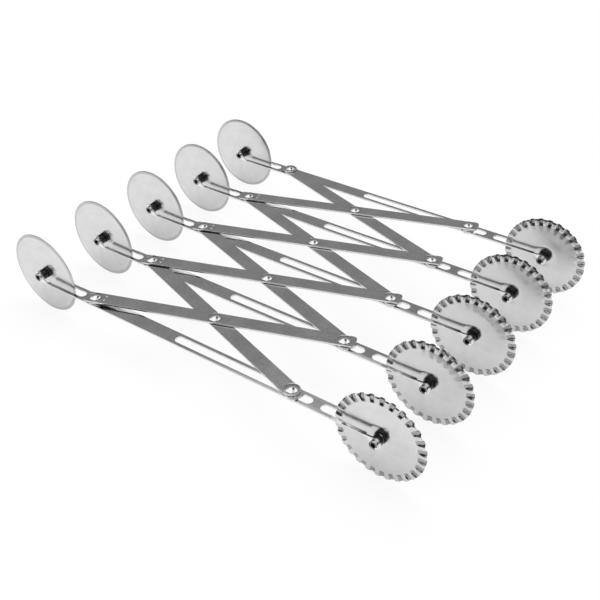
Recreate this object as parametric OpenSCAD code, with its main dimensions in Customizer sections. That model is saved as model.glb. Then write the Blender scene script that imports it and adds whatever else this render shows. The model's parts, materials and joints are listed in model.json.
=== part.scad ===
// Expandable dough cutter: five carrier bars joined by lazy tongs, a plain cutting wheel
// on one end of each bar and a fluted one on the other. It stands on its wheel rims.
// X runs along the bars from the plain wheels to the fluted ones, Y is the way it spreads.

/* [Wheels] */
// Diameter of every cutting wheel
wheel_d = 56; // [48:1:66]
// Thickness of the wheel discs
wheel_t = 1; // [0.8:0.1:1.6]
// Radial width of the ground edge on the plain wheels
edge_w = 1.6; // [0.8:0.1:4]
// Thickness left at the rim of the plain wheels
edge_t = 0.4; // [0.2:0.1:0.7]
// Number of flutes pressed into each fluted wheel
flute_count = 27; // [20:1:36]
// Radial length of the flutes
flute_l = 4.4; // [3:0.1:7]
// Height of a flute to either side of the disc
flute_h = 0.8; // [0.3:0.1:1.2]
// Thickness of the pressed rim
rim_t = 0.9; // [0.5:0.05:1]

/* [Carrier bars] */
// Width of a bar
bar_w = 10; // [9:0.5:14]
// Thickness of the bar's strip
bar_t = 1.1; // [0.8:0.1:1.8]
// Width of the notch that a wheel stands in
notch_w = 5.6; // [4:0.1:6.5]
// From the bottom of the notch to the wheel's rim
notch_gap = 9.2; // [4:0.1:14]
// From the rim of the plain wheel to the left pivot
left_gap = 18.8; // [18:0.1:30]
// Solid strip between the slot and the right notch
web_l = 5.8; // [3:0.1:12]
// Slot that stays free past the stud when the links lie in line
slot_spare = 2.5; // [1:0.1:10]
// Wall of a fork eye around its axle hole
eye_wall = 1.6; // [1.2:0.1:3]
// Height of the plain wheel's axle over the bar's underside
left_eye_rise = 4.4; // [2:0.1:7]
// Height of the fluted wheel's axle over the bar's underside
right_eye_rise = -2.2; // [-4:0.1:1]
// From the hub spacers to the end of the flat tines
floor_clear = 2.5; // [1:0.1:5]
// How far back an ear runs along the edge of its tine
ear_run = 5; // [3:0.5:8]
// Length over which an ear widens into its eye
lug_l = 5; // [3:0.5:6]

/* [Links] */
// Distance between a link's end pivots
link_l = 163.5; // [150:0.5:190]
// Width of a link
link_w = 10; // [9:0.5:13]
// Thickness of a link
link_t = 1.1; // [1:0.1:2]
// From an end pivot to the end of the link
link_end = 7; // [6:0.1:9]
// Rounding of the link's corners
link_corner = 3; // [1:0.1:4]
// Distance between neighbouring bars, as it stands
pitch = 52; // [30:1:120]
// From the left pivot to the sliding stud when fully spread
open_reach = 71.5; // [60:0.5:110]
// Diameter of the two locating dimples on an upper link
dimple_d = 1.6; // [1:0.1:2.5]
// Depth of a dimple
dimple_depth = 0.3; // [0.1:0.1:0.6]
// From the left pivot to the dimples, along the link
dimple_from = 7; // [6:0.1:10]
// Distance between the two dimples, across the link
dimple_apart = 4; // [2:0.1:6]

/* [Rivets] */
// Shank of the pivot rivets and slide studs
rivet_d = 5; // [4:0.1:5.5]
// Diameter of a domed head
head_d = 8.5; // [7:0.1:10]
// Height of a domed head
head_h = 1.6; // [1:0.1:2.5]
// Straight rim under the dome
head_rim = 0.4; // [0.2:0.1:0.6]
// Height of the closed tail under the bar
tail_h = 1.3; // [1:0.1:2]
// Diameter of the rings that fill a missing link's place
ring_d = 10; // [8.5:0.1:11]
// Diameter of a slide washer
washer_d = 9; // [8:0.1:10]
// Thickness of a slide washer
washer_t = 0.8; // [0.5:0.1:1.5]
// Flare of a cross rivet's flush tail
flare_w = 1; // [0.5:0.1:1.5]
// Depth of that flare in the lower link
flare_h = 0.8; // [0.4:0.1:0.9]

/* [Axles] */
// Shank of a wheel axle
axle_d = 4; // [3:0.1:5]
// How far an axle's head stands out round its shank
axle_lip = 0.8; // [0.4:0.1:1.4]
// Height of an axle's head
axle_head_h = 1.7; // [1.2:0.1:4]
// Wall round the hollow in an axle's head
axle_hollow_wall = 0.6; // [0.4:0.1:1]
// Depth of that hollow
axle_hollow_depth = 1.4; // [0.5:0.1:1.6]
// Wall of a hub spacer
spacer_wall = 1.4; // [1:0.1:2.5]

/* [Clearances] */
// Radial clearance of a rivet in a link or bar
rivet_fit = 0.05; // [0.02:0.01:0.1]
// Clearance of a stud at either side of the slot
slot_fit = 0.3; // [0.2:0.05:0.5]
// Radial clearance of an axle in its wheel, spacers and eyes
axle_fit = 0.05; // [0.02:0.01:0.1]
// Gap between stacked strips, heads and washers
layer_gap = 0.15; // [0.1:0.05:0.5]
// Gap between a wheel and a hub spacer
side_gap = 0.2; // [0.1:0.05:0.4]

/* [Hidden] */
$fn = 96;
BARS = [1, 2, 3, 4, 5];
FIRST_BAR = BARS[0];
LAST_BAR = BARS[len(BARS) - 1];
MIDDLE_BAR = (FIRST_BAR + LAST_BAR) / 2;
CROSSINGS = [1, 2, 3, 4];
END_RINGS = ["left_head_ring", "left_gap_ring", "right_gap_ring", "right_head_ring"];

// How far a cutting shape runs past what it cuts
overrun = 1;

wheel_r = wheel_d / 2;
slot_w = rivet_d + 2 * slot_fit;
spacer_d = axle_d + 2 * spacer_wall;
eye_r = axle_d / 2 + eye_wall;
axle_hole_d = axle_d + 2 * axle_fit;
axle_head_d = axle_d + 2 * axle_lip;
axle_hollow_d = axle_d - 2 * axle_hollow_wall;
rivet_hole_d = rivet_d + 2 * rivet_fit;

// Places along a bar, with zero midway between its two axles
hub_span = 2 * wheel_r + left_gap + link_l + slot_w / 2 + slot_spare + web_l + notch_gap;
left_hub_x = -hub_span / 2;
right_hub_x = hub_span / 2;
left_x = left_hub_x + wheel_r + left_gap;
right_x = left_x + sqrt(link_l * link_l - pitch * pitch);
open_x = left_x + open_reach;
slot_end_x = left_x + link_l + slot_spare;
left_notch_x = left_hub_x + wheel_r + notch_gap;
right_notch_x = right_hub_x - wheel_r - notch_gap;
floor_back = spacer_d / 2 + floor_clear;
ear_l = floor_back + ear_run;

// Heights over a bar's underside
lower_z = bar_t + layer_gap;
upper_z = lower_z + link_t + layer_gap;
head_z = upper_z + link_t + layer_gap;
washer_z = -layer_gap - washer_t;

// The bars slope so that both axles lie one wheel radius over the table
slope = atan((left_eye_rise - right_eye_rise) / hub_span);
middle_eye_z = (left_eye_rise + right_eye_rise) / 2;
place_x = middle_eye_z * sin(slope);
place_z = wheel_r - middle_eye_z * cos(slope);
swing = asin(pitch / link_l);

function bar_y(k) = (MIDDLE_BAR - k) * pitch;
function crossing_y(k) = (bar_y(k) + bar_y(k + 1)) / 2;

// Stands a bar's own frame on the table
module in_place(y = 0) {
    translate([place_x, 0, place_z])
        rotate([0, -slope, 0])
            translate([0, y, 0])
                children();
}

// A tube along Z, standing on zero
module tube(outer_d, inner_d, h) {
    difference() {
        cylinder(d = outer_d, h = h);
        translate([0, 0, -overrun])
            cylinder(d = inner_d, h = h + 2 * overrun);
    }
}

// A slot with round ends, cut through a strip that stands on zero
module slot_cut(from_x, to_x, w, t) {
    translate([0, 0, -overrun])
        linear_extrude(t + 2 * overrun) {
            translate([from_x, -w / 2])
                square([to_x - from_x, w]);
            translate([from_x, 0])
                circle(d = w);
            translate([to_x, 0])
                circle(d = w);
        }
}

// Side view of an ear: it leaves its tine at zero and ends in the eye round the axle
module ear_outline(eye_z) {
    difference() {
        union() {
            polygon([
                [0, 0],
                [ear_l - lug_l, 0],
                [ear_l, min(0, eye_z - eye_r)],
                [ear_l, max(bar_t, eye_z + eye_r)],
                [ear_l - lug_l, bar_t],
                [0, bar_t]
            ]);
            translate([ear_l, eye_z])
                circle(r = eye_r);
        }
        translate([ear_l, eye_z])
            circle(d = axle_hole_d);
    }
}

// The two ears of a fork, from where they leave the tines towards +X
module fork_ears(eye_z) {
    for (y = [bar_w / 2, -bar_w / 2 + bar_t])
        translate([0, y, 0])
            rotate([90, 0, 0])
                linear_extrude(bar_t)
                    ear_outline(eye_z);
}

module carrier_bar(k) {
    floor_from = left_hub_x + floor_back;
    floor_to = right_hub_x - floor_back;
    color("silver") in_place(bar_y(k)) {
        difference() {
            translate([floor_from, -bar_w / 2, 0])
                cube([floor_to - floor_from, bar_w, bar_t]);
            slot_cut(open_x, slot_end_x, slot_w, bar_t);
            slot_cut(floor_from - notch_w, left_notch_x - notch_w / 2, notch_w, bar_t);
            slot_cut(right_notch_x + notch_w / 2, floor_to + notch_w, notch_w, bar_t);
            translate([left_x, 0, -overrun])
                cylinder(d = rivet_hole_d, h = bar_t + 2 * overrun);
        }
        translate([left_hub_x + ear_l, 0, 0])
            mirror([1, 0, 0])
                fork_ears(left_eye_rise);
        translate([right_hub_x - ear_l, 0, 0])
            fork_ears(right_eye_rise);
    }
}

// Puts what is made along Z onto the axle lines of bar k
module on_axle(k, hub_x, eye_z) {
    in_place(bar_y(k))
        translate([hub_x, 0, eye_z])
            rotate([90, 0, 0])
                children();
}

module plain_wheel(k) {
    color("gainsboro") on_axle(k, left_hub_x, left_eye_rise)
        rotate_extrude()
            polygon([
                [axle_hole_d / 2, -wheel_t / 2],
                [wheel_r - edge_w, -wheel_t / 2],
                [wheel_r, -edge_t / 2],
                [wheel_r, edge_t / 2],
                [wheel_r - edge_w, wheel_t / 2],
                [axle_hole_d / 2, wheel_t / 2]
            ]);
}

// The crimped rim: every flute has two points bent to one side and two to the other
FLUTE_POINTS = 4;
// How much of the swing each ring of the rim has, from the root to the edge
ring_swing_shares = [0, 0, 1];
// How far out over the flutes their bend starts
rim_rise_share = 0.05;
rim_points = flute_count * FLUTE_POINTS;
disc_r = wheel_r - flute_l;
rim_root_r = disc_r - wheel_t;
rim_rise_r = disc_r + flute_l * rim_rise_share;
ring_rs = [rim_root_r, rim_rise_r, wheel_r];
RINGS = len(ring_rs);
LAST_RING = RINGS - 1;

function flute_side(i) = i % FLUTE_POINTS < FLUTE_POINTS / 2 ? 1 : -1;
function rim_point(face, ring, i) = [
    ring_rs[ring] * cos(360 * i / rim_points),
    ring_rs[ring] * sin(360 * i / rim_points),
    face * rim_t / 2 + flute_side(i) * flute_h * ring_swing_shares[ring]
];
function rim_index(face, ring, i) = ((face + 1) / 2 * RINGS + ring) * rim_points + i % rim_points;
// Two triangles over four points, in the order that faces out
function two_triangles(a, b, c, d) = [[a, b, c], [a, c, d]];

module fluted_rim() {
    points = [
        for (face = [-1, 1]) for (ring = [0:LAST_RING]) for (i = [0:rim_points - 1])
            rim_point(face, ring, i)
    ];
    under = [
        for (ring = [0:LAST_RING - 1]) for (i = [0:rim_points - 1]) each two_triangles(
            rim_index(-1, ring, i), rim_index(-1, ring + 1, i),
            rim_index(-1, ring + 1, i + 1), rim_index(-1, ring, i + 1))
    ];
    over = [
        for (ring = [0:LAST_RING - 1]) for (i = [0:rim_points - 1]) each two_triangles(
            rim_index(1, ring, i + 1), rim_index(1, ring + 1, i + 1),
            rim_index(1, ring + 1, i), rim_index(1, ring, i))
    ];
    root = [
        for (i = [0:rim_points - 1]) each two_triangles(
            rim_index(-1, 0, i + 1), rim_index(1, 0, i + 1),
            rim_index(1, 0, i), rim_index(-1, 0, i))
    ];
    rim = [
        for (i = [0:rim_points - 1]) each two_triangles(
            rim_index(-1, LAST_RING, i), rim_index(1, LAST_RING, i),
            rim_index(1, LAST_RING, i + 1), rim_index(-1, LAST_RING, i + 1))
    ];
    polyhedron(points, concat(under, over, root, rim));
}

module fluted_wheel(k) {
    color("gainsboro") on_axle(k, right_hub_x, right_eye_rise) {
        translate([0, 0, -wheel_t / 2])
            tube(2 * disc_r, axle_hole_d, wheel_t);
        fluted_rim();
    }
}

// A hollow-headed rivet across the fork, centred on zero
module axle_rivet() {
    end_z = bar_w / 2 + axle_head_h;
    difference() {
        union() {
            translate([0, 0, -end_z])
                cylinder(d = axle_d, h = 2 * end_z);
            for (side = [0, 1])
                mirror([0, 0, side])
                    translate([0, 0, bar_w / 2])
                        cylinder(d = axle_head_d, h = axle_head_h);
        }
        for (side = [0, 1])
            mirror([0, 0, side])
                translate([0, 0, end_z - axle_hollow_depth])
                    cylinder(d = axle_hollow_d, h = axle_hollow_depth + overrun);
    }
}

module axle_rivets(k) {
    color("silver") {
        on_axle(k, left_hub_x, left_eye_rise)
            axle_rivet();
        on_axle(k, right_hub_x, right_eye_rise)
            axle_rivet();
    }
}

// The two sleeves that hold a wheel in the middle of its fork
module hub_spacer_pair() {
    inner_y = wheel_t / 2 + side_gap;
    for (side = [0, 1])
        mirror([0, 0, side])
            translate([0, 0, inner_y])
                tube(spacer_d, axle_hole_d, bar_w / 2 - bar_t - inner_y);
}

module hub_spacers(k) {
    color("dimgray") {
        on_axle(k, left_hub_x, left_eye_rise)
            hub_spacer_pair();
        on_axle(k, right_hub_x, right_eye_rise)
            hub_spacer_pair();
    }
}

// Plan of a link, with its left pivot on zero
module link_plan() {
    corner_x = link_end - link_corner;
    corner_y = link_w / 2 - link_corner;
    translate([-corner_x, -link_w / 2])
        square([link_l + 2 * corner_x, link_w]);
    translate([-link_end, -corner_y])
        square([link_l + 2 * link_end, 2 * corner_y]);
    for (x = [-corner_x, link_l + corner_x]) for (y = [-corner_y, corner_y])
        translate([x, y])
            circle(r = link_corner);
}

module link_strip() {
    difference() {
        linear_extrude(link_t)
            link_plan();
        for (x = [0, link_l / 2, link_l])
            translate([x, 0, -overrun])
                cylinder(d = rivet_hole_d, h = link_t + 2 * overrun);
    }
}

module upper_link(k) {
    color("silver") in_place(bar_y(k + 1))
        translate([left_x, 0, upper_z])
            rotate([0, 0, swing])
                difference() {
                    link_strip();
                    for (y = [-dimple_apart / 2, dimple_apart / 2])
                        translate([dimple_from, y, link_t - dimple_depth])
                            cylinder(d = dimple_d, h = dimple_depth + overrun);
                }
}

module lower_link(k) {
    color("silver") in_place(bar_y(k))
        translate([left_x, 0, lower_z])
            rotate([0, 0, -swing])
                difference() {
                    link_strip();
                    translate([link_l / 2, 0, 0])
                        flare(rivet_fit);
                }
}

// The flush flared tail of a cross rivet, or its seat in the lower link
module flare(fit) {
    cylinder(r1 = rivet_d / 2 + flare_w + fit, r2 = rivet_d / 2 + fit, h = flare_h);
}

// A domed head that stands on zero
module dome_head(h) {
    cap_h = h - head_rim;
    cap_r = (head_d * head_d / 4 + cap_h * cap_h) / (2 * cap_h);
    intersection() {
        cylinder(d = head_d, h = h);
        translate([0, 0, h - cap_r])
            sphere(r = cap_r);
    }
}

// A rivet with a domed head above and a domed tail below
module domed_rivet(tail_z) {
    translate([0, 0, tail_z - tail_h / 2])
        cylinder(d = rivet_d, h = head_z + head_h / 2 - tail_z + tail_h / 2);
    translate([0, 0, head_z])
        dome_head(head_h);
    translate([0, 0, tail_z])
        mirror([0, 0, 1])
            dome_head(tail_h);
}

module left_rivet(k) {
    color("lightgray") in_place(bar_y(k))
        translate([left_x, 0, 0])
            domed_rivet(0);
}

module slide_stud(k) {
    color("lightgray") in_place(bar_y(k))
        translate([right_x, 0, 0])
            domed_rivet(washer_z);
}

module slide_washer(k) {
    color("silver") in_place(bar_y(k))
        translate([right_x, 0, washer_z])
            tube(washer_d, rivet_hole_d, washer_t);
}

module cross_rivet(k) {
    color("lightgray") in_place(crossing_y(k))
        translate([(left_x + right_x) / 2, 0, 0]) {
            translate([0, 0, lower_z])
                cylinder(d = rivet_d, h = head_z + head_h / 2 - lower_z);
            translate([0, 0, lower_z])
                flare(0);
            translate([0, 0, head_z])
                dome_head(head_h);
        }
}

// A ring in the place of a missing link
module end_ring(k, x, z) {
    color("silver") in_place(bar_y(k))
        translate([x, 0, z])
            tube(ring_d, rivet_hole_d, link_t);
}

for (k = BARS) {
    carrier_bar(k);
    plain_wheel(k);
    fluted_wheel(k);
    axle_rivets(k);
    hub_spacers(k);
    left_rivet(k);
    slide_stud(k);
    slide_washer(k);
}
for (k = CROSSINGS) {
    upper_link(k);
    lower_link(k);
    cross_rivet(k);
}
end_ring(FIRST_BAR, left_x, upper_z);
end_ring(LAST_BAR, left_x, lower_z);
end_ring(FIRST_BAR, right_x, lower_z);
end_ring(LAST_BAR, right_x, upper_z);
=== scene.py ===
import json
from math import asin, atan2, cos, degrees, pi, radians, sin, tanh

import bmesh
import bpy
from mathutils import Matrix, Vector

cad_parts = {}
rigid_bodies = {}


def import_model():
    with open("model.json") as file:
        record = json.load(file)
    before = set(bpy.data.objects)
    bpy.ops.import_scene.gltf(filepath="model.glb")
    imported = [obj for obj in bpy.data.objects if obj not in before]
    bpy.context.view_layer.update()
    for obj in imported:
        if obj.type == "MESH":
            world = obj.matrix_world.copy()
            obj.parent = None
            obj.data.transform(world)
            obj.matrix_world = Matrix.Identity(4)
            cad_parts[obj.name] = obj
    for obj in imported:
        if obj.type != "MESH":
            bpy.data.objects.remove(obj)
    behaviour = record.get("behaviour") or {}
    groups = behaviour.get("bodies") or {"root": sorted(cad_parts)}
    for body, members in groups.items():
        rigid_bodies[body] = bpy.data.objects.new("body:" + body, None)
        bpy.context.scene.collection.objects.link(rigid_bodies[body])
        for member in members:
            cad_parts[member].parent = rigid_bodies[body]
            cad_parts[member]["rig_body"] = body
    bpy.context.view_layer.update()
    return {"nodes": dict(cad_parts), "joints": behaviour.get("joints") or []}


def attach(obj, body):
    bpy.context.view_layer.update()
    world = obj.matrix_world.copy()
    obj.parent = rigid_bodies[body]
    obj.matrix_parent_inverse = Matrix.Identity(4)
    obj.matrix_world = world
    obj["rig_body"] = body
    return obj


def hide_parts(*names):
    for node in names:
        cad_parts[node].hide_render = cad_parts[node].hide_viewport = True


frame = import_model()


# Carrier bars: five strips of polished stainless steel, slotted for the sliding rivets and
# notched at both ends into flat tines. The outer edge of each tine is folded into an ear that
# ends in an eye for a wheel's axle: up at the plain wheels, down at the fluted ones.
MM = 0.001
BARS = (1, 2, 3, 4, 5)
MIDDLE_BAR = 3
LEFT_PIVOTS = {
    1: "left_pivot_1",
    2: "left_pivot_2_lower",
    3: "spread",
    4: "left_pivot_4_lower",
    5: "left_pivot_5",
}
joints = {joint["name"]: joint for joint in frame["joints"]}
pivot_at = {name: Vector(joint["pos_m"]) for name, joint in joints.items()}
bar_up = Vector(joints["left_pivot_3_upper"]["axis"])
bar_along = Vector((0, 1, 0)).cross(bar_up)


def stand(point, along, up):
    """The frame of a piece that stands at a point of the tool, with X along it and Z up."""
    turn = Matrix((along, up.cross(along), up)).transposed()
    return Matrix.Translation(point) @ turn.to_4x4()


left_pivots = {k: pivot_at[LEFT_PIVOTS[k]] for k in BARS}
bar_frames = {k: stand(left_pivots[k], bar_along, bar_up) for k in BARS}
plain_hub = bar_frames[MIDDLE_BAR].inverted() @ pivot_at["plain_spin_3"]
fluted_hub = bar_frames[MIDDLE_BAR].inverted() @ pivot_at["fluted_spin_3"]

bar_w = 10 * MM
bar_t = 1.1 * MM
floor_back = 6 * MM
notch_w = 5.6 * MM
notch_from_hub = 37.2 * MM
slot_w = 5.6 * MM
slot_from = 71.5 * MM
slot_to = 166 * MM
pivot_hole_r = 2.55 * MM
axle_hole_r = 2.05 * MM
eye_r = 3.6 * MM
ear_run = 5 * MM
ear_l = floor_back + ear_run
ear_corner = 0.5 * MM
lug_l = 5 * MM
lug_ease = 2 * MM
# Each tine's top leans outwards from its root to its ear, both measured from the hub
tine_lean = 0.25 * MM
tine_root = 28 * MM
tine_end = lug_l + lug_ease
lean_run = tine_end - floor_back
# The broken edges of the strip, and the shortest edge that is left for them
sheet_edge = 0.26 * MM
short_edge = 0.12 * MM
BROKEN_ANGLE = radians(55)
BROKEN_STEPS = 3
# Faces that lie as flat as this are one, and edges as sharp as this show
FLAT_ANGLE = radians(0.2)
SHARP_ANGLE = radians(40)
# Points this close are one, in a fresh mesh and after its edges are broken. A hair is how far a
# point may be off a face of the strip and still count as on it
same_point = 0.001 * MM
same_corner = 0.004 * MM
hair = 0.01 * MM


def arc(x, y, r, start, turn, steps=16):
    """Points along an arc, with its start and its turn in degrees."""
    angles = [radians(start + turn * i / steps) for i in range(steps + 1)]
    return [(x + r * cos(a), y + r * sin(a)) for a in angles]


def circle(x, y, r, steps=40):
    return arc(x, y, r, 0, 360, steps)[:-1]


def eased(points, size, steps=4, closed=False):
    """The same line with its corners rounded off. Size is one value, or one for each point."""
    sizes = size if isinstance(size, (list, tuple)) else [size] * len(points)
    result = []
    for i, (point, cut) in enumerate(zip(points, sizes)):
        if cut == 0 or not closed and i in (0, len(points) - 1):
            result.append(tuple(point))
            continue
        here = Vector(point)
        before = Vector(points[i - 1]) - here
        after = Vector(points[(i + 1) % len(points)]) - here
        first = here + before.normalized() * min(cut, before.length / 2)
        last = here + after.normalized() * min(cut, after.length / 2)
        for step in range(steps + 1):
            share = step / steps
            bend = first.lerp(here, share).lerp(here.lerp(last, share), share)
            result.append(tuple(bend))
    return result


def add_plate(bm, sides, upright=False):
    """Adds a closed plate. Its first side is the outline and the others are holes: each is a
    list of (loop of points, level), from the underside up. Upright plates stand along X."""
    lowest, highest = [], []
    for side in sides:
        rings = []
        for loop, level in side:
            places = [(x, level, y) if upright else (x, y, level) for x, y in loop]
            rings.append([bm.verts.new(place) for place in places])
        for below, above in zip(rings, rings[1:]):
            for i in range(len(below)):
                bm.faces.new((below[i - 1], below[i], above[i], above[i - 1]))
        for ring, edges in ((rings[0], lowest), (rings[-1], highest)):
            edges += [bm.edges.get((ring[i - 1], ring[i])) for i in range(len(ring))]
    for edges in (lowest, highest):
        bmesh.ops.triangle_fill(bm, edges=edges, use_beauty=True)


def straight(loop, low, high):
    return [(loop, low), (loop, high)]


def smooth_mesh(name, bm):
    """A mesh with all faces turned outwards, smooth up to its sharp edges."""
    bmesh.ops.recalc_face_normals(bm, faces=bm.faces)
    mesh = bpy.data.meshes.new(name)
    bm.to_mesh(mesh)
    bm.free()
    mesh.shade_smooth()
    mesh.set_sharp_from_angle(angle=SHARP_ANGLE)
    return mesh


def finish_mesh(name, bm):
    """Joins what is flat first, and gives a smooth mesh."""
    bmesh.ops.recalc_face_normals(bm, faces=bm.faces)
    bmesh.ops.dissolve_limit(bm, angle_limit=FLAT_ANGLE, verts=[], edges=bm.edges)
    return smooth_mesh(name, bm)


def bench(name, mesh):
    """An object to work on, before its mesh goes into the tool."""
    piece = bpy.data.objects.new(name, mesh)
    bpy.context.scene.collection.objects.link(piece)
    return piece


def taken_off(piece):
    """The mesh that an object's modifiers make. The object itself is removed."""
    shaped = piece.evaluated_get(bpy.context.evaluated_depsgraph_get())
    mesh = bpy.data.meshes.new_from_object(shaped)
    mesh.name = piece.name
    bpy.data.objects.remove(piece)
    return mesh


def combined(piece, other, operation):
    """The mesh of two objects joined, or of one cut by the other. Both objects are removed."""
    work = piece.modifiers.new("combined", "BOOLEAN")
    work.operation = operation
    work.solver = "EXACT"
    work.object = other
    mesh = taken_off(piece)
    bpy.data.objects.remove(other)
    return mesh


def broken_edges(name, mesh, size):
    """The same mesh with its sharp edges rounded, as tumbling does, and with no face left that
    has no area."""
    piece = bench(name, mesh)
    rounding = piece.modifiers.new("broken_edges", "BEVEL")
    rounding.width = size
    rounding.segments = BROKEN_STEPS
    rounding.limit_method = "ANGLE"
    rounding.angle_limit = BROKEN_ANGLE
    rounding.harden_normals = True
    mesh = taken_off(piece)
    bm = bmesh.new()
    bm.from_mesh(mesh)
    bmesh.ops.remove_doubles(bm, verts=bm.verts, dist=same_corner)
    bmesh.ops.dissolve_degenerate(bm, edges=bm.edges, dist=same_corner)
    bm.to_mesh(mesh)
    bm.free()
    return mesh


def bar_floor():
    """The flat strip with its slot, its rivet hole and its two notches."""
    half = bar_w / 2
    gap = notch_w / 2
    start = plain_hub.x + floor_back
    end = fluted_hub.x - floor_back
    left_notch = plain_hub.x + notch_from_hub - gap
    right_notch = fluted_hub.x - notch_from_hub + gap
    outline = [(start, -half), (end, -half), (end, -gap)]
    outline += arc(right_notch, 0, gap, 270, -180)
    outline += [(end, gap), (end, half), (start, half), (start, gap)]
    outline += arc(left_notch, 0, gap, 90, -180)
    outline += [(start, -gap)]
    slot = arc(slot_from, 0, slot_w / 2, 90, 180) + arc(slot_to, 0, slot_w / 2, 270, 180)
    loops = outline, slot, circle(0, 0, pivot_hole_r)
    bm = bmesh.new()
    add_plate(bm, [straight(loop, 0, bar_t) for loop in loops])
    return finish_mesh("bar_floor", bm)


def ear_outline(hub, way):
    """Side view of an ear, from its tine to the eye round the hub. Way is 1 or -1 along X."""
    low = min(0, hub.z - eye_r)
    high = max(bar_t, hub.z + eye_r)
    eye = [(x, y + hub.z) for x, y in arc(0, 0, eye_r, -90, 180)]
    foot = [(-ear_l, 0), (-lug_l, 0), (0, low)]
    back_edge = [(0, high), (-lug_l, bar_t), (-ear_l, bar_t)]
    points = foot + eye[1:-1] + back_edge
    cuts = [0, lug_ease, ear_corner] + [0] * (len(eye) - 2) + [0, lug_ease, 0]
    return [(hub.x + way * x, y) for x, y in eased(points, cuts, closed=True)]


def bar_ears():
    bm = bmesh.new()
    for hub, way in ((plain_hub, -1), (fluted_hub, 1)):
        loops = ear_outline(hub, way), circle(hub.x, hub.z, axle_hole_r)
        for low in (-bar_w / 2, bar_w / 2 - bar_t):
            add_plate(bm, [straight(loop, low, low + bar_t) for loop in loops], upright=True)
    return finish_mesh("bar_ears", bm)


def lean_tines(bm):
    """Cuts a bar across where the lean of its tines starts and ends, and lowers their tops
    towards the outer edges."""
    for cut in (tine_root + lean_run, tine_root, ear_l, tine_end, tine_end - lean_run):
        for x in (plain_hub.x + cut, fluted_hub.x - cut):
            everything = bm.verts[:] + bm.edges[:] + bm.faces[:]
            bmesh.ops.bisect_plane(bm, geom=everything, plane_co=(x, 0, 0), plane_no=(1, 0, 0))
    bmesh.ops.remove_doubles(bm, verts=bm.verts, dist=short_edge)
    bmesh.ops.dissolve_degenerate(bm, edges=bm.edges, dist=short_edge / 2)
    for vert in bm.verts:
        from_hub = min(vert.co.x - plain_hub.x, fluted_hub.x - vert.co.x)
        on_tine = tine_end - short_edge < from_hub < tine_root + short_edge
        outwards = (abs(vert.co.y) - notch_w / 2) / (bar_w / 2 - notch_w / 2)
        if on_tine and outwards > 0 and vert.co.z > bar_t - hair:
            vert.co.z -= tine_lean * outwards


def folded_bar_mesh():
    ears = bench("ears", bar_ears())
    joined = combined(bench("joined_bar", bar_floor()), ears, "UNION")
    bm = bmesh.new()
    bm.from_mesh(joined)
    bmesh.ops.remove_doubles(bm, verts=bm.verts, dist=same_point)
    bmesh.ops.dissolve_limit(bm, angle_limit=FLAT_ANGLE, verts=[], edges=bm.edges)
    lean_tines(bm)
    return broken_edges("folded_bar", smooth_mesh("folded_bar", bm), sheet_edge)


def new_group(name, inputs, outputs):
    """A shader node group with named sockets, and its two end nodes."""
    group = bpy.data.node_groups.new(name, "ShaderNodeTree")
    for way, sockets in (("INPUT", inputs), ("OUTPUT", outputs)):
        for socket, kind in sockets.items():
            group.interface.new_socket(socket, in_out=way, socket_type="NodeSocket" + kind)
    return group, group.nodes.new("NodeGroupInput"), group.nodes.new("NodeGroupOutput")


def add_node(tree, kind, settings=None, **sockets):
    """Adds a node. Sockets go by name, or by number after a low line, and take a value or
    another node's output."""
    node = tree.nodes.new("ShaderNode" + kind)
    for setting, value in (settings or {}).items():
        setattr(node, setting, value)
    for name, value in sockets.items():
        key = int(name[1:]) if name[0] == "_" else name.replace("_", " ")
        socket = node.inputs[key]
        if isinstance(value, bpy.types.NodeSocket):
            tree.links.new(value, socket)
        else:
            socket.default_value = value
    return node


def grain_group():
    """Drawn lines and soft clouds in a steel surface. Lines run along X of the place given."""
    group, given, made = new_group(
        "drawn_grain",
        {"Place": "Vector", "Line Stretch": "Vector", "Cloud Scale": "Float"},
        {"Lines": "Float", "Clouds": "Float"},
    )
    place, stretch = given.outputs["Place"], given.outputs["Line Stretch"]
    drawn = add_node(group, "VectorMath", {"operation": "MULTIPLY"}, _0=place, _1=stretch)
    lines = add_node(group, "TexNoise", Vector=drawn.outputs[0], Scale=1.0, Detail=4.0, Roughness=0.65)
    spread = add_node(group, "MapRange", Value=lines.outputs[0], From_Min=0.3, From_Max=0.7)
    clouds = add_node(group, "TexNoise", Vector=place, Scale=given.outputs["Cloud Scale"], Detail=3.0)
    soft = add_node(group, "MapRange", Value=clouds.outputs[0], From_Min=0.32, From_Max=0.68)
    group.links.new(spread.outputs[0], made.inputs["Lines"])
    group.links.new(soft.outputs[0], made.inputs["Clouds"])
    return group


SCRATCH_ANGLES = radians(37), radians(-58)
SCRATCH_STRETCH = (0.05, 1, 1)


def scratch_group():
    """A few fine scratches from use, in two directions that cross."""
    group, given, made = new_group(
        "fine_scratches", {"Place": "Vector", "Scale": "Float"}, {"Scratches": "Float"}
    )
    place, scale = given.outputs["Place"], given.outputs["Scale"]
    marks = []
    for angle in SCRATCH_ANGLES:
        turned = add_node(group, "VectorRotate", {"rotation_type": "Z_AXIS"}, Vector=place, Angle=angle)
        drawn = add_node(
            group, "VectorMath", {"operation": "MULTIPLY"}, _0=turned.outputs[0], _1=SCRATCH_STRETCH
        )
        noise = add_node(group, "TexNoise", Vector=drawn.outputs[0], Scale=scale, Detail=1.0)
        mark = add_node(group, "MapRange", Value=noise.outputs[0], From_Min=0.7, From_Max=0.76)
        marks.append(mark.outputs[0])
    both = add_node(group, "Math", {"operation": "MAXIMUM"}, _0=marks[0], _1=marks[1])
    group.links.new(both.outputs[0], made.inputs["Scratches"])
    return group


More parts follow.
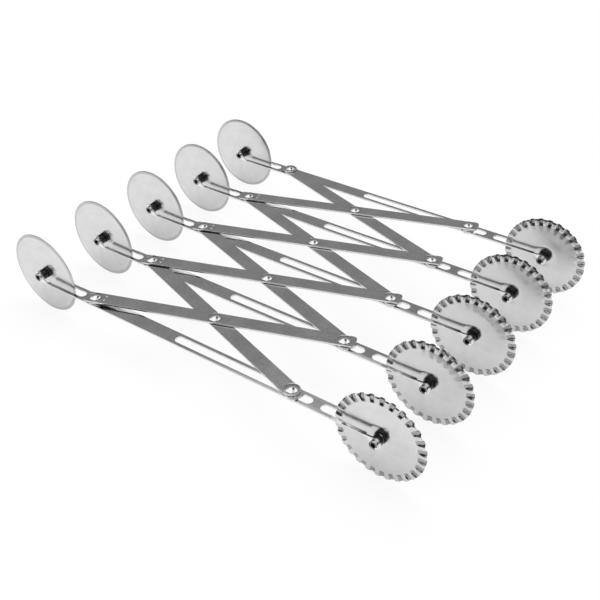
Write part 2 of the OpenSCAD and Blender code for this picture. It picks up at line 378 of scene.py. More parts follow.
def round_group():
    """Bends a place round its piece's axis, so that drawn lines become rings."""
    group, given, made = new_group(
        "round_the_axis", {"Place": "Vector", "Reach": "Float"}, {"Place": "Vector"}
    )
    place, reach = given.outputs["Place"], given.outputs["Reach"]
    flat = add_node(group, "VectorMath", {"operation": "MULTIPLY"}, _0=place, _1=(1, 1, 0))
    radius = add_node(group, "VectorMath", {"operation": "LENGTH"}, _0=flat.outputs[0])
    way = add_node(group, "VectorMath", {"operation": "NORMALIZE"}, _0=flat.outputs[0])
    ring = add_node(group, "VectorMath", {"operation": "SCALE"}, _0=way.outputs[0], Scale=reach)
    parts = add_node(group, "SeparateXYZ", Vector=ring.outputs[0])
    height = add_node(group, "SeparateXYZ", Vector=place)
    out = add_node(
        group, "Math", {"operation": "ADD"}, _0=radius.outputs["Value"], _1=height.outputs["Z"]
    )
    bent = add_node(group, "CombineXYZ", X=parts.outputs["X"], Y=out.outputs[0], Z=parts.outputs["Y"])
    group.links.new(bent.outputs[0], made.inputs["Place"])
    return group


drawn_grain = grain_group()
fine_scratches = scratch_group()
round_the_axis = round_group()
# Shares of the lines and the clouds in a finish's colour, how dense its scratches are and how
# much they dull it, and the depth of its relief
line_share = 0.6
cloud_share = 0.4
scratch_scale = 900.0
scratch_dull = 0.5
relief_depth = 0.02 * MM


def steel(
    name, dull, bright, smooth, rough, stretch, cloud_scale, relief, reach=None, metallic=1.0, ringed=0.0
):
    """A steel finish: colour and roughness follow its grain, its clouds and its scratches.
    Reach bends the grain into rings round the piece's axis, and ringed is how much those rings
    stretch what the steel mirrors."""
    material = bpy.data.materials.new(name)
    material.use_nodes = True
    tree = material.node_tree
    shader = tree.nodes["Principled BSDF"]
    shader.inputs["Metallic"].default_value = metallic
    if ringed > 0:
        rings = add_node(tree, "Tangent", {"direction_type": "RADIAL", "axis": "Z"})
        tree.links.new(rings.outputs[0], shader.inputs["Tangent"])
        shader.inputs["Anisotropic"].default_value = ringed

    place = add_node(tree, "TexCoord").outputs["Object"]
    marks = add_node(tree, "Group", {"node_tree": fine_scratches}, Place=place, Scale=scratch_scale)
    scratches = marks.outputs[0]
    if reach is not None:
        bent = add_node(tree, "Group", {"node_tree": round_the_axis}, Place=place, Reach=reach)
        place = bent.outputs[0]
    grain = add_node(
        tree, "Group", {"node_tree": drawn_grain},
        Place=place, Line_Stretch=stretch, Cloud_Scale=cloud_scale,
    )
    lines, clouds = grain.outputs["Lines"], grain.outputs["Clouds"]

    tone = add_node(tree, "Math", {"operation": "MULTIPLY"}, _0=lines, _1=line_share)
    tone = add_node(
        tree, "Math", {"operation": "MULTIPLY_ADD"}, _0=clouds, _1=cloud_share, _2=tone.outputs[0]
    )
    colour = add_node(tree, "Mix", {"data_type": "RGBA"}, Factor=tone.outputs[0], _6=dull, _7=bright)
    tree.links.new(colour.outputs[2], shader.inputs["Base Color"])

    worn = add_node(
        tree, "Math", {"operation": "MULTIPLY_ADD"}, _0=scratches, _1=scratch_dull, _2=clouds
    )
    sheen = add_node(
        tree, "MapRange",
        Value=worn.outputs[0], From_Max=1 + scratch_dull, To_Min=smooth, To_Max=rough,
    )
    tree.links.new(sheen.outputs[0], shader.inputs["Roughness"])

    height = add_node(tree, "Math", {"operation": "SUBTRACT"}, _0=lines, _1=scratches)
    bump = add_node(tree, "Bump", Strength=relief, Distance=relief_depth, Height=height.outputs[0])
    tree.links.new(bump.outputs[0], shader.inputs["Normal"])
    return material


strip_steel = steel(
    "polished_strip_steel",
    dull=(0.66, 0.66, 0.67, 1),
    bright=(0.99, 0.99, 0.99, 1),
    smooth=0.09,
    rough=0.17,
    stretch=(600, 1400, 1400),
    cloud_scale=60.0,
    relief=0.12,
)
sheared_steel = steel(
    "sheared_edge_steel",
    dull=(0.74, 0.74, 0.745, 1),
    bright=(0.88, 0.88, 0.885, 1),
    smooth=0.12,
    rough=0.24,
    stretch=(300, 300, 9000),
    cloud_scale=300.0,
    relief=0.2,
)
# Near-black painted shade on the downward rounding of the cut edges, where the table below lies in shade
underside_shade_steel = steel(
    "painted_underside_shade",
    dull=(0.02, 0.02, 0.021, 1),
    bright=(0.07, 0.07, 0.071, 1),
    smooth=0.25,
    rough=0.45,
    stretch=(300, 300, 9000),
    cloud_scale=300.0,
    relief=0.3,
)
# How upright a face of the strip is where the shears cut it, and how far down a face of its underside
# rounding turns to get painted shade
sheared_upright = 0.6
shade_faces_down = -0.05
flat_down = -0.97


def mark_sheared(mesh):
    """Gives the cut edges of a strip their own steel, with painted shade on the rounding along the
    underside.
    """
    for finish in (strip_steel, sheared_steel, underside_shade_steel):
        mesh.materials.append(finish)
    for face in mesh.polygons:
        heights = [mesh.vertices[i].co.z for i in face.vertices]
        if min(heights) < -hair or max(heights) > bar_t + hair:
            continue
        if flat_down < face.normal.z < shade_faces_down:
            face.material_index = 2
        elif abs(face.normal.z) < sheared_upright:
            face.material_index = 1
    return mesh


def fit_piece(name, mesh, place, body, node, material):
    """Puts a made piece in its place on the tool, where it stands for a solid of the frame. A
    mesh that has its finishes already keeps them."""
    piece = bench(name, mesh)
    if not mesh.materials:
        mesh.materials.append(material)
    piece.matrix_world = place
    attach(piece, body)
    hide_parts(node)


bar_mesh = mark_sheared(folded_bar_mesh())
for k in BARS:
    fit_piece(
        f"folded_bar_{k}", bar_mesh, bar_frames[k],
        f"bar_{k}", f"carrier_bar_{k}", strip_steel,
    )


# Wheel axles: hollow-headed rivets of bright steel, one across each fork. Both ends are rolled
# over into a round lip with a hollow in the middle, outside the fork's eyes; the hollow is painted
# near-black as its shade.
axle_r = 2 * MM
axle_head_r = 2.8 * MM
axle_head_h = 1.7 * MM
axle_hollow_r = 1.3 * MM
axle_hollow_depth = 1.4 * MM
axle_flare = 0.4 * MM
flare_ease = 0.15 * MM
lip_ease = 0.3 * MM
axle_ease = 0.2 * MM


def add_turned(bm, profile, place=Matrix.Identity(4), steps=48, closed=False):
    """Adds a piece turned round Z from a profile of (radius, height). A closed profile makes a
    ring, and an open one starts and ends on the axis."""
    rings = []
    for r, z in profile:
        points = [(0, 0)] if r < same_point else circle(0, 0, r, steps)
        rings.append([bm.verts.new(place @ Vector((x, y, z))) for x, y in points])
    pairs = list(zip(rings, rings[1:]))
    if closed:
        pairs.append((rings[-1], rings[0]))
    for below, above in pairs:
        for i in range(steps):
            if len(below) == 1:
                corners = below[0], above[i], above[i - 1]
            elif len(above) == 1:
                corners = below[i - 1], below[i], above[0]
            else:
                corners = below[i - 1], below[i], above[i], above[i - 1]
            bm.faces.new(corners)


def turned_mesh(name, profile, steps=48, closed=False):
    bm = bmesh.new()
    add_turned(bm, profile, steps=steps, closed=closed)
    return finish_mesh(name, bm)


def axle_profile():
    end = bar_w / 2 + axle_head_h
    half = [(0, end - axle_hollow_depth), (axle_hollow_r, end - axle_hollow_depth)]
    half += [(axle_hollow_r, end - axle_flare), (axle_hollow_r + axle_flare, end)]
    half += [(axle_head_r, end), (axle_head_r, bar_w / 2), (axle_r, bar_w / 2)]
    cuts = [0, axle_ease, axle_ease, flare_ease, lip_ease, axle_ease, 0]
    upper = eased(half, cuts)
    return upper + [(r, -z) for r, z in reversed(upper)]


# An axle lies across the bars: its own Z is turned onto the tool's Y
ON_AXLE = Matrix.Rotation(pi / 2, 4, "X")


def hub_pair_mesh(name, profiles, closed=False):
    """One mesh for both ends of a bar, from profiles round the axle."""
    bm = bmesh.new()
    for hub in (plain_hub, fluted_hub):
        for profile in profiles:
            add_turned(bm, profile, Matrix.Translation((hub.x, 0, hub.z)) @ ON_AXLE, closed=closed)
    return finish_mesh(name, bm)


rivet_steel = steel(
    "bright_rivet_steel",
    dull=(0.82, 0.82, 0.83, 1),
    bright=(0.92, 0.92, 0.92, 1),
    smooth=0.08,
    rough=0.2,
    stretch=(30, 6000, 30),
    cloud_scale=400.0,
    relief=0.08,
    reach=0.01,
)
# Near-black painted shade for the insides of the axles' hollow ends
hollow_shade_steel = steel(
    "painted_hollow_shade",
    dull=(0.010, 0.010, 0.0105, 1),
    bright=(0.03, 0.03, 0.031, 1),
    smooth=0.2,
    rough=0.4,
    stretch=(2500, 2500, 2500),
    cloud_scale=500.0,
    relief=0.1,
)


# Paints shade into the hollow ends of the axles
def paint_hollow_shade(mesh):
    mesh.materials.append(rivet_steel)
    mesh.materials.append(hollow_shade_steel)
    for face in mesh.polygons:
        hub = plain_hub if face.center.x < 0 else fluted_hub
        from_axis = Vector((face.center.x - hub.x, face.center.z - hub.z)).length
        if from_axis < axle_hollow_r + axle_flare:
            face.material_index = 1
    return mesh


axle_mesh = paint_hollow_shade(hub_pair_mesh("hollow_axles", [axle_profile()]))
for k in BARS:
    fit_piece(
        f"hollow_axles_{k}", axle_mesh, bar_frames[k],
        f"bar_{k}", f"axle_rivets_{k}", rivet_steel,
    )


# Hub sleeves: short tubes on the axle, at both sides of every wheel, coloured near-black as a painted
# dark reflection of polished steel. They keep the wheel in the middle of its fork.
sleeve_r = 3.4 * MM
sleeve_from = 0.7 * MM
sleeve_to = bar_w / 2 - bar_t
sleeve_ease = 0.35 * MM


def ring_profile(outer_r, inner_r, low, high, ease):
    """Profile of a turned ring with rounded edges."""
    corners = [(inner_r, low), (outer_r, low), (outer_r, high), (inner_r, high)]
    return eased(corners, ease, closed=True)


sleeve_profile = ring_profile(sleeve_r, axle_hole_r, sleeve_from, sleeve_to, sleeve_ease)
sleeve_profiles = [sleeve_profile, [(r, -z) for r, z in sleeve_profile]]
# Near-black painted dark reflection on the polished sleeves
sleeve_dark_reflection_steel = steel(
    "painted_dark_reflection_sleeve",
    dull=(0.004, 0.004, 0.0045, 1),
    bright=(0.012, 0.012, 0.0125, 1),
    smooth=0.1,
    rough=0.22,
    stretch=(2500, 2500, 2500),
    cloud_scale=500.0,
    relief=0.1,
    metallic=0.0,
)
sleeve_mesh = hub_pair_mesh("black_sleeves", sleeve_profiles, closed=True)
for k in BARS:
    fit_piece(
        f"black_sleeves_{k}", sleeve_mesh, bar_frames[k],
        f"bar_{k}", f"hub_spacers_{k}", sleeve_dark_reflection_steel,
    )


# Plain cutting wheels: discs of satin stainless sheet on the left ends of the bars. The rim is
# ground from both sides to a blunt edge, and the faces keep the fine rings of their finishing.
wheel_r = 28 * MM
wheel_t = 1 * MM
ground_w = 2 * MM
ground_t = 0.4 * MM
disc_ease = 0.15 * MM
edge_ease = 0.08 * MM


def plain_wheel_profile():
    upper = [
        (axle_hole_r, wheel_t / 2),
        (wheel_r - ground_w, wheel_t / 2),
        (wheel_r, ground_t / 2),
    ]
    lower = [(r, -z) for r, z in reversed(upper)]
    ease = [disc_ease, disc_ease, edge_ease]
    return eased(upper + lower, ease + ease[::-1], closed=True)


wheel_steel = steel(
    "satin_wheel_steel",
    dull=(0.62, 0.62, 0.62, 1),
    bright=(0.76, 0.76, 0.76, 1),
    smooth=0.14,
    rough=0.22,
    stretch=(40, 5000, 40),
    cloud_scale=130.0,
    relief=0.12,
    reach=0.02,
    ringed=0.8,
)
ground_steel = steel(
    "ground_edge_steel",
    dull=(0.48, 0.48, 0.48, 1),
    bright=(0.62, 0.62, 0.62, 1),
    smooth=0.2,
    rough=0.3,
    stretch=(40, 5000, 40),
    cloud_scale=130.0,
    relief=0.2,
    reach=0.02,
)


def mark_ground(mesh):
    mesh.materials.append(wheel_steel)
    mesh.materials.append(ground_steel)
    for face in mesh.polygons:
        if face.center.xy.length > wheel_r - ground_w:
            face.material_index = 1
    return mesh


plain_wheel_mesh = mark_ground(
    turned_mesh("plain_wheel", plain_wheel_profile(), steps=160, closed=True)
)
for k in BARS:
    place = Matrix.Translation(pivot_at[f"plain_spin_{k}"]) @ ON_AXLE
    fit_piece(
        f"cutting_wheel_{k}", plain_wheel_mesh, place,
        f"plain_wheel_{k}", f"plain_wheel_{k}", wheel_steel,
    )


# Fluted cutting wheels: the same discs on the right ends, with the rim pressed into short flutes
# that bend to one side and the other, so that the cut comes out wavy.
flute_count = 27
flute_l = 4.8 * MM
crest_h = 0.25 * MM
trough_h = 0.9 * MM
rim_t = 0.9 * MM
rim_edge_t = 0.15 * MM
rim_ground_w = 1 * MM
bore_ease_w = 0.15 * MM
bore_ease_h = 0.12 * MM
flute_from = wheel_r - flute_l
# How square a flute's wave is, how far it leans to the trough, the share of its length in which
# it reaches its depth, and how high up its wave the steel gets the painted crest highlight
flute_square = 2.4
flute_lean = 0.05
flute_start = 0.42
crest_highlight_from = 0.2
# Where the mesh has its rings: shares of the way out to the flutes, and of a flute's length
FLUTE_STEPS = 20
DISC_SHARES = (0.4, 0.75, 1)
RIM_SHARES = (0.06, 0.12, 0.18, 0.24, 0.3, 0.36, 0.48, 0.64, 0.8, 0.83, 0.9, 1)


def flute_wave(angle):
    """From 1 on a crest to -1 in a trough."""
    return tanh(flute_square * (sin(flute_count * angle) - flute_lean))


def flute_bend(share, angle):
    """How far the sheet bends aside, at a share of the flute's length and an angle round the wheel."""
    rise = min(1, share / flute_start)
    # Half of the rise is straight and half is eased at both ends
    rise = 0.5 * rise + 0.5 * rise * rise * (3 - 2 * rise)
    wave = flute_wave(angle)
    return rise * wave * (crest_h if wave > 0 else trough_h)


def rim_half(share):
    """Half of the sheet's thickness along a flute, with the ground edge at its end."""
    ground = max(0, 1 - (1 - share) * flute_l / rim_ground_w)
    return rim_t / 2 - ground * (rim_t - rim_edge_t) / 2


def fluted_wheel_mesh():
    disc = [(axle_hole_r, wheel_t / 2 - bore_ease_h), (axle_hole_r + bore_ease_w, wheel_t / 2)]
    disc += [(flute_from * share, wheel_t / 2) for share in DISC_SHARES]
    rim = [(flute_from + flute_l * share, rim_half(share)) for share in RIM_SHARES]
    steps = flute_count * FLUTE_STEPS
    bm = bmesh.new()
    faces = []
    for side in (1, -1):
        rings = []
        for r, half in disc + rim:
            share = max(0, (r - flute_from) / flute_l)
            ring = []
            for i in range(steps):
                angle = 2 * pi * i / steps
                z = side * half + flute_bend(share, angle)
                ring.append(bm.verts.new((r * cos(angle), r * sin(angle), z)))
            rings.append(ring)
        faces.append(rings)
    upper, lower = faces
    loop = upper + lower[::-1]
    for inner, outer in zip(loop, loop[1:] + loop[:1]):
        for i in range(steps):
            bm.faces.new((inner[i - 1], inner[i], outer[i], outer[i - 1]))
    return smooth_mesh("fluted_wheel", bm)


# Painted highlight on the crests of the flutes
crest_highlight_steel = steel(
    "painted_crest_highlight",
    dull=(0.60, 0.60, 0.60, 1),
    bright=(0.74, 0.74, 0.74, 1),
    smooth=0.12,
    rough=0.2,
    stretch=(40, 5000, 40),
    cloud_scale=130.0,
    relief=0.1,
    reach=0.02,
)
# Painted shade in the troughs of the flutes
trough_shade_steel = steel(
    "painted_trough_shade",
    dull=(0.30, 0.30, 0.30, 1),
    bright=(0.44, 0.44, 0.44, 1),
    smooth=0.16,
    rough=0.26,
    stretch=(40, 5000, 40),
    cloud_scale=130.0,
    relief=0.2,
    reach=0.02,
)


def mark_flutes(mesh):
    """Painted highlight on the crests of the flutes and painted shade in the troughs, on both faces."""
    for finish in (wheel_steel, crest_highlight_steel, trough_shade_steel):
        mesh.materials.append(finish)
    for face in mesh.polygons:
        if face.center.xy.length < flute_from:
            continue
        wave = flute_wave(atan2(face.center.y, face.center.x))
        if face.normal.z < 0:
            wave = -wave
        face.material_index = 1 if wave > crest_highlight_from else 2
    return mesh


crimped_mesh = mark_flutes(fluted_wheel_mesh())
for k in BARS:
    place = Matrix.Translation(pivot_at[f"fluted_spin_{k}"]) @ ON_AXLE
    fit_piece(
        f"crimped_wheel_{k}", crimped_mesh, place,
        f"fluted_wheel_{k}", f"fluted_wheel_{k}", wheel_steel,
    )


# Links: eight flat strips of the same steel, crossed in four pairs. They are blanked with round
# corners and three rivet holes. The upper ones have two locating dimples beside the left hole,
# and the lower ones a countersink under the crossing.
CROSSINGS = (1, 2, 3, 4)
link_w = 10 * MM
link_t = 1.1 * MM
link_end = 7 * MM
link_corner = 3 * MM
layer_gap = 0.15 * MM
lower_z = bar_t + layer_gap
upper_z = lower_z + link_t + layer_gap
dimple_r = 0.8 * MM
dimple_depth = 0.3 * MM
dimple_from = 7 * MM
dimple_apart = 4 * MM
# The punch for a dimple: shares of its radius and of the dimple's depth at its rounding, and
# its length above the strip
punch_nose_r = 0.6
punch_nose_depth = 0.7
punch_l = 1 * MM
flare_r = 3.55 * MM
flare_h = 0.8 * MM
crossings = {k: pivot_at[f"cross_pivot_{k}"] for k in CROSSINGS}
link_l = 2 * (crossings[1] - left_pivots[1]).length


def dimple_punches():
    punch = [
        (0, -dimple_depth),
        (dimple_r * punch_nose_r, -dimple_depth * punch_nose_depth),
        (dimple_r, 0),
        (dimple_r, punch_l),
        (0, punch_l),
    ]
    bm = bmesh.new()
    for y in (-dimple_apart / 2, dimple_apart / 2):
        add_turned(bm, punch, Matrix.Translation((dimple_from, y, link_t)), steps=20)
    return bench("punches", finish_mesh("punches", bm))


def link_mesh(name, upper):
    ends = [(-link_end, -link_w / 2), (link_l + link_end, -link_w / 2)]
    ends += [(x, -y) for x, y in reversed(ends)]
    sides = [straight(eased(ends, link_corner, steps=8, closed=True), 0, link_t)]
    sides += [straight(circle(x, 0, pivot_hole_r), 0, link_t) for x in (0, link_l)]
    middle = circle(link_l / 2, 0, pivot_hole_r)
    if upper:
        sides.append(straight(middle, 0, link_t))
    else:
        sides.append([(circle(link_l / 2, 0, flare_r), 0), (middle, flare_h), (middle, link_t)])
    bm = bmesh.new()
    add_plate(bm, sides)
    plate = broken_edges(name, finish_mesh(name, bm), sheet_edge)
    if upper:
        punches = dimple_punches()
        plate = combined(bench(name, plate), punches, "DIFFERENCE")
    return mark_sheared(plate)


upper_link_mesh = link_mesh("upper_link", upper=True)
lower_link_mesh = link_mesh("lower_link", upper=False)
for k in CROSSINGS:
    for name, mesh, pivot, level in (
        ("upper", upper_link_mesh, left_pivots[k + 1], upper_z),
        ("lower", lower_link_mesh, left_pivots[k], lower_z),
    ):
        along = (crossings[k] - pivot).normalized()
        place = stand(pivot + bar_up * level, along, bar_up)
        link = f"{name}_link_{k}"
        fit_piece(f"flat_{link}", mesh, place, link, link, strip_steel)


# Filler rings: turned rings, as thick as a link, on the four end pivots that have one link only.
# They take the place of the link that is missing there.
ring_r = 5 * MM
ring_ease = 0.3 * MM
right_ends = {k: left_pivots[k + 1] + 2 * (crossings[k] - left_pivots[k + 1]) for k in CROSSINGS}
right_ends[5] = left_pivots[4] + 2 * (crossings[4] - left_pivots[4])
washer_steel = steel(
    "plain_washer_steel",
    dull=(0.74, 0.74, 0.75, 1),
    bright=(0.84, 0.84, 0.84, 1),
    smooth=0.2,
    rough=0.34,
    stretch=(30, 5000, 30),
    cloud_scale=300.0,
    relief=0.12,
    reach=0.01,
)
ring_mesh = turned_mesh(
    "filler_ring", ring_profile(ring_r, pivot_hole_r, 0, link_t, ring_ease), closed=True
)
for node, body, point, level in (
    ("left_head_ring", "bar_1", left_pivots[1], upper_z),
    ("left_gap_ring", "bar_5", left_pivots[5], lower_z),
    ("right_gap_ring", "upper_link_1", right_ends[1], lower_z),
    ("right_head_ring", "lower_link_4", right_ends[5], upper_z),
):
    place = stand(point + bar_up * level, bar_along, bar_up)
    fit_piece(f"turned_{node}", ring_mesh, place, body, node, washer_steel)


# Rivets: bright domed rivets hold the stack together. The left ones pivot in the bars, the ones
# in the middle hold each crossing and end flush below, and the right ones slide in the slots.
rivet_r = 2.5 * MM
head_r = 4.25 * MM
head_h = 1.6 * MM
head_rim = 0.4 * MM
head_foot_ease = 0.15 * MM
head_rim_ease = 0.3 * MM
HEAD_STEPS = 12
tail_h = 1.3 * MM
head_z = upper_z + link_t + layer_gap
flush_gap = 0.05 * MM
flush_ease = 0.1 * MM
washer_t = 0.8 * MM
washer_z = -layer_gap - washer_t


def dome(low, h, way=1):
    """Profile of a domed head from its shank to its top, or mirrored for a tail."""
    cap = h - head_rim
    cap_r = (head_r ** 2 + cap ** 2) / (2 * cap)
    edge = 90 - degrees(asin(head_r / cap_r))
    points = [(rivet_r, 0), (head_r, 0)]
    points += [(r, z + h - cap_r) for r, z in arc(0, 0, cap_r, edge, 90 - edge, HEAD_STEPS)]
    points[-1] = (0, h)
    cuts = [0, head_foot_ease, head_rim_ease] + [0] * HEAD_STEPS
    return [(r, low + way * z) for r, z in eased(points, cuts)]


def domed_rivet_mesh(name, tail_z):
    profile = list(reversed(dome(tail_z, tail_h, -1))) + dome(head_z, head_h)
    return turned_mesh(name, profile)


def fit_rivet(name, mesh, place, node):
    fit_piece(name, mesh, place, frame["nodes"][node]["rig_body"], node, rivet_steel)


left_rivet_mesh = domed_rivet_mesh("left_rivet", 0)
sliding_mesh = domed_rivet_mesh("sliding_rivet", washer_z)
flush_tail = [(0, lower_z), (flare_r - flush_gap, lower_z), (rivet_r, lower_z + flare_h)]
crossing_mesh = turned_mesh("crossing_rivet", eased(flush_tail, flush_ease) + dome(head_z, head_h))
for k in BARS:
    fit_rivet(f"hinge_rivet_{k}", left_rivet_mesh, bar_frames[k], f"left_rivet_{k}")
for k in CROSSINGS:
    place = stand(crossings[k], bar_along, bar_up)
    fit_rivet(f"crossing_rivet_{k}", crossing_mesh, place, f"cross_rivet_{k}")
for k in BARS:
    place = stand(right_ends[k], bar_along, bar_up)
    fit_rivet(f"sliding_rivet_{k}", sliding_mesh, place, f"slide_stud_{k}")


# Slide washers: thin washers of plain steel under the bars. Each lies between the edges of a slot
# and the closed tail of its sliding rivet.
washer_r = 4.5 * MM
washer_ease = 0.15 * MM
washer_mesh = turned_mesh(
    "slide_washer", ring_profile(washer_r, pivot_hole_r, 0, washer_t, washer_ease), closed=True
)
for k in BARS:
    node = f"slide_washer_{k}"
    place = stand(right_ends[k] + bar_up * washer_z, bar_along, bar_up)
    body = frame["nodes"][node]["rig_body"]
    fit_piece(f"thin_washer_{k}", washer_mesh, place, body, node, washer_steel)


# Table: a wide matt white sheet under the tool. It stays white behind the tool and keeps a soft
# shadow. In the steel it is pale beside the tool and dark further out.
table_half = 3.0
table_colour = (0.9, 0.9, 0.9, 1)
table_glow = 0.86
steel_glow = 0.35
table_near = 0.12
table_far = 0.38
far_light = 0.04
tool_half = Vector((0.129, 0.104, 0))


def white_table():
    material = bpy.data.materials.new("white_table")
    material.use_nodes = True
    tree = material.node_tree
    tree.nodes.clear()
    rays = add_node(tree, "LightPath").outputs
    mirrored = add_node(
        tree, "Math", {"operation": "ADD"}, _0=rays["Is Glossy Ray"], _1=rays["Is Transmission Ray"]
    ).outputs[0]
    mirrored = add_node(
        tree, "Math", {"operation": "MULTIPLY"}, _0=mirrored, _1=steel_glow
    ).outputs[0]
    share = add_node(
        tree, "Math", {"operation": "MULTIPLY_ADD", "use_clamp": True},
        _0=rays["Is Camera Ray"], _1=table_glow, _2=mirrored,
    ).outputs[0]

    place = add_node(tree, "TexCoord").outputs["Object"]
    place = add_node(tree, "VectorMath", {"operation": "ABSOLUTE"}, _0=place).outputs[0]
    place = add_node(tree, "VectorMath", {"operation": "SUBTRACT"}, _0=place, _1=tool_half).outputs[0]
    place = add_node(tree, "VectorMath", {"operation": "MAXIMUM"}, _0=place, _1=(0, 0, 0)).outputs[0]
    out_by = add_node(tree, "VectorMath", {"operation": "LENGTH"}, _0=place).outputs["Value"]
    far = add_node(
        tree, "MapRange", {"interpolation_type": "SMOOTHSTEP"},
        Value=out_by, From_Min=table_near, From_Max=table_far,
    ).outputs[0]
    far = add_node(tree, "Math", {"operation": "MULTIPLY"}, _0=far, _1=rays["Is Glossy Ray"]).outputs[0]

    matt = add_node(tree, "BsdfDiffuse", Color=table_colour)
    light = add_node(tree, "Mix", _0=far, _2=1.0, _3=far_light).outputs[0]
    glow = add_node(tree, "Emission", Color=(1, 1, 1, 1), Strength=light)
    share = add_node(tree, "Mix", _0=far, _2=share, _3=1.0).outputs[0]
    both = add_node(tree, "MixShader", _0=share, _1=matt.outputs[0], _2=glow.outputs[0])
    out = add_node(tree, "OutputMaterial")
    tree.links.new(both.outputs[0], out.inputs["Surface"])
    return material


def surroundings(name, bm, material):
    """A thing round the tool, from its mesh and its material."""
    mesh = bpy.data.meshes.new(name)
    bm.to_mesh(mesh)
    bm.free()
    mesh.materials.append(material)
    return bench(name, mesh)


bm = bmesh.new()
bmesh.ops.create_grid(bm, x_segments=8, y_segments=8, size=table_half)
table = surroundings("table", bm, white_table())


# Light tent: a dome round the tool that only its reflections see. Its roof is white in two panels
# with a dark seam between them, its walls are grey with a pale door in front, and its foot and its
# left front are dark.
view_azimuth = radians(36.253)
view_elevation = radians(36.796)
tent_r = 4.5
tent_foot = -0.01
away = Vector((-sin(view_azimuth), cos(view_azimuth), 0))
aside = Vector((cos(view_azimuth), sin(view_azimuth), 0))
foot_light = 0.05
back_light = 0.235
cornice_light = 0.5
roof_light = 1.1
seam_light = 0.06
top_light = 0.7
front_light = 0.2
door_light = 0.7
left_light = 0.02
# Where one light turns into the next: by height, by how far behind the tool, or by how far beside
# it, all as parts of the dome's radius
wall_rise = (0.1, 0.35)
cornice_rise = (0.645, 0.72)
roof_rise = (0.76, 0.82)
seam_beside = 0.13
seam_sides = (0.1, 0.15)
seam_end = (0.94, 0.98)
front_turn = (-0.15, 0.1)
front_rise = (0.3, 0.55)
front_roof_rise = (0.74, 0.80)
door_turn = (-0.62, -0.48)
left_turn = (-0.60, -0.52)
left_back_turn = (-0.16, 0.0)
left_roof_rise = (0.58, 0.66)


def tent_cloth():
    material = bpy.data.materials.new("tent_cloth")
    material.use_nodes = True
    tree = material.node_tree
    tree.nodes.clear()
    place = add_node(tree, "TexCoord").outputs["Object"]
    way = add_node(tree, "VectorMath", {"operation": "NORMALIZE"}, _0=place).outputs[0]
    height = add_node(tree, "SeparateXYZ", Vector=way).outputs["Z"]
    behind, beside = [
        add_node(tree, "VectorMath", {"operation": "DOT_PRODUCT"}, _0=way, _1=side).outputs["Value"]
        for side in (away, aside)
    ]
    from_seam = add_node(tree, "Math", {"operation": "SUBTRACT"}, _0=beside, _1=seam_beside).outputs[0]
    from_seam = add_node(tree, "Math", {"operation": "ABSOLUTE"}, _0=from_seam).outputs[0]

    def turning(value, band, low=0.0, high=1.0):
        return add_node(
            tree, "MapRange", {"interpolation_type": "SMOOTHSTEP"},
            Value=value, From_Min=band[0], From_Max=band[1], To_Min=low, To_Max=high,
        ).outputs[0]

    def mixed(share, low, high):
        return add_node(tree, "Mix", _0=share, _2=low, _3=high).outputs[0]

    seam = turning(height, seam_end, seam_light, top_light)
    panels = mixed(turning(from_seam, seam_sides), seam, roof_light)

    wall = turning(height, wall_rise, foot_light, back_light)
    wall = mixed(turning(height, cornice_rise), wall, cornice_light)
    rear = mixed(turning(height, roof_rise), wall, panels)

    door = turning(behind, door_turn, door_light, front_light)
    front = mixed(turning(height, front_rise), foot_light, door)
    front = mixed(turning(height, front_roof_rise), front, panels)

    to_rear = turning(behind, front_turn)
    light = mixed(to_rear, front, rear)

    left = turning(behind, left_back_turn, left_light, back_light)
    left_roof = add_node(
        tree, "Math", {"operation": "MULTIPLY"}, _0=turning(height, left_roof_rise), _1=to_rear
    ).outputs[0]
    left = mixed(left_roof, left, roof_light)
    light = mixed(turning(beside, left_turn), left, light)

    glow = add_node(tree, "Emission", Color=(1, 1, 1, 1), Strength=light)
    out = add_node(tree, "OutputMaterial")
    tree.links.new(glow.outputs[0], out.inputs["Surface"])
    return material


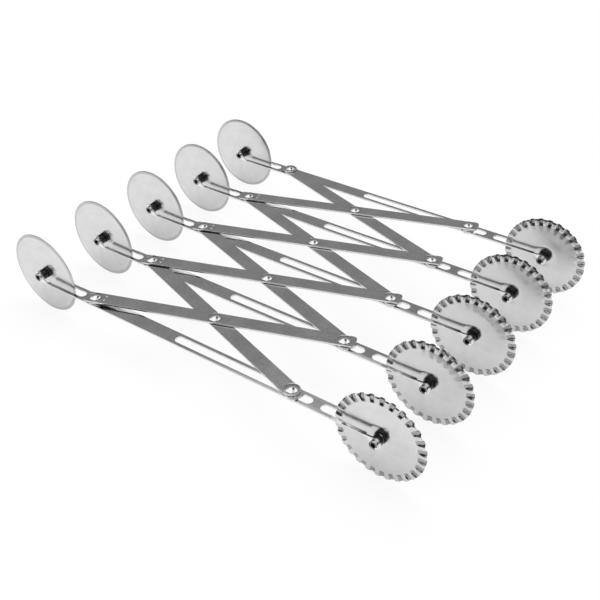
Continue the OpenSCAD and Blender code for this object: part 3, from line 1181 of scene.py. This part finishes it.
bm = bmesh.new()
bmesh.ops.create_uvsphere(bm, u_segments=48, v_segments=24, radius=tent_r)
bmesh.ops.bisect_plane(
    bm, geom=bm.verts[:] + bm.edges[:] + bm.faces[:],
    plane_co=(0, 0, tent_foot), plane_no=(0, 0, 1), clear_inner=True,
)
tent = surroundings("tent", bm, tent_cloth())
tent.visible_camera = False
tent.visible_diffuse = False
tent.visible_shadow = False
tent.visible_transmission = False


# Room light: an even white sky that the steel doesn't mirror, and one wide lamp overhead that
# gives the shadow its direction.
sky_light = 1.0
lamp_size = 0.6
lamp_power = 2.0
lamp_place = Vector((-0.15, 0.2, 0.8))
sky = bpy.data.worlds.new("white_room")
sky.use_nodes = True
sky.node_tree.nodes["Background"].inputs["Color"].default_value = (1, 1, 1, 1)
sky.node_tree.nodes["Background"].inputs["Strength"].default_value = sky_light
sky.cycles_visibility.glossy = False
bpy.context.scene.world = sky
lamp_data = bpy.data.lights.new("overhead_lamp", "AREA")
lamp_data.shape = "RECTANGLE"
lamp_data.size = lamp_size
lamp_data.size_y = lamp_size
lamp_data.energy = lamp_power
lamp = bpy.data.objects.new("overhead_lamp", lamp_data)
lamp.location = lamp_place
lamp.rotation_euler = Vector((0, 0, 1)).rotation_difference(lamp_place).to_euler()
lamp.visible_glossy = False
bpy.context.scene.collection.objects.link(lamp)
bpy.context.scene.view_settings.view_transform = "Standard"


# Camera: it looks down over the right front corner of the tool, from the place and with the lens
# that were fitted to the photograph.
view_roll = radians(-0.412)
view_distance = 613.8 * MM
focal_px = 896.7
image_px = 600
sensor_w = 36
nearest = 0.01
aim_right = 1.701 * MM
aim_up = -1.119 * MM
back = Vector((
    sin(view_azimuth) * cos(view_elevation),
    -cos(view_azimuth) * cos(view_elevation),
    sin(view_elevation),
))
level_up = back.cross(aside)
right = aside * cos(view_roll) + level_up * sin(view_roll)
up = level_up * cos(view_roll) - aside * sin(view_roll)
camera_data = bpy.data.cameras.new("camera")
camera_data.sensor_width = sensor_w
camera_data.lens = focal_px / image_px * sensor_w
camera_data.clip_start = nearest
camera = bpy.data.objects.new("camera", camera_data)
turn = Matrix((right, up, back)).transposed().to_4x4()
camera.matrix_world = Matrix.Translation(right * aim_right + up * aim_up + back * view_distance) @ turn
bpy.context.scene.collection.objects.link(camera)
bpy.context.scene.camera = camera
